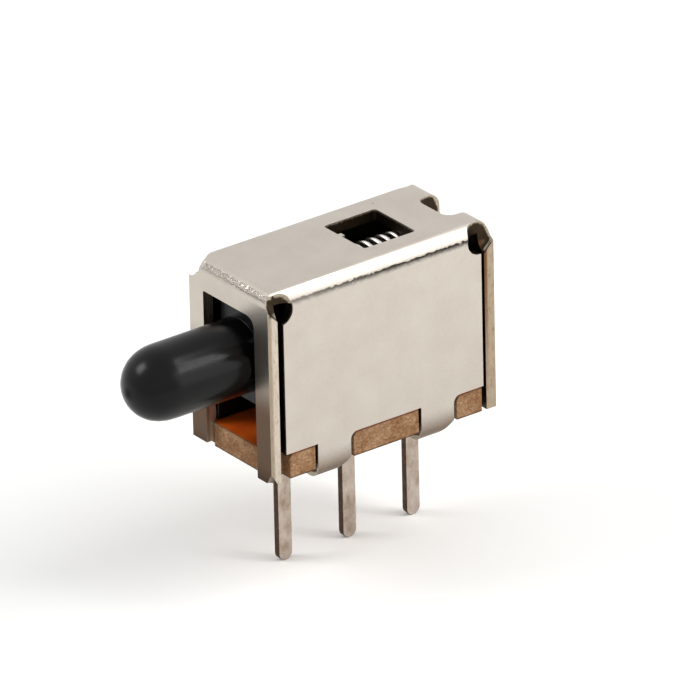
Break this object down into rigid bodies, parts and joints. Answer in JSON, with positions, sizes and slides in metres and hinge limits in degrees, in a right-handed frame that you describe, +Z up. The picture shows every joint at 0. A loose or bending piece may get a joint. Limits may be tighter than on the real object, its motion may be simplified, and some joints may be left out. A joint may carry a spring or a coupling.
{
  "type": "pushbutton switch",
  "caption": "Miniature sprung pushbutton switch in a folded steel frame clinched over a laminate base, with in-line through-hole pins and a round-nosed side button.",
  "frame": {"origin": "on the circuit board's face, in the middle of the front pin", "axes": "+X from the button towards the rear plate, the way the button is pressed; +Y across the width; +Z up, away from the board"},
  "size_m": [0.01, 0.0032, 0.0082],
  "materials": {
    "plated_steel": "satin nickel plate",
    "laminate": "matt cut edges, smooth orange-brown faces",
    "terminal": "plated satin, bare at the sheared edges",
    "black_moulding": "satin",
    "contact": "satin",
    "spring_wire": "bright"
  },
  "bodies": {
    "housing": {"frame": "plated_steel", "base_plate": "laminate", "terminal_front": "terminal", "terminal_middle": "terminal", "terminal_rear": "terminal", "return_spring": "spring_wire"},
    "slider": {"plunger": "black_moulding", "contact_clip": "contact"}
  },
  "joints": [
    {"name": "button_press", "type": "slide", "parent": "housing", "child": "slider", "axis": [1, 0, 0], "range_m": [0, 0.002], "stiffness_N_per_m": 250, "springref_m": -0.002, "deforming": ["return_spring"]}
  ]
}
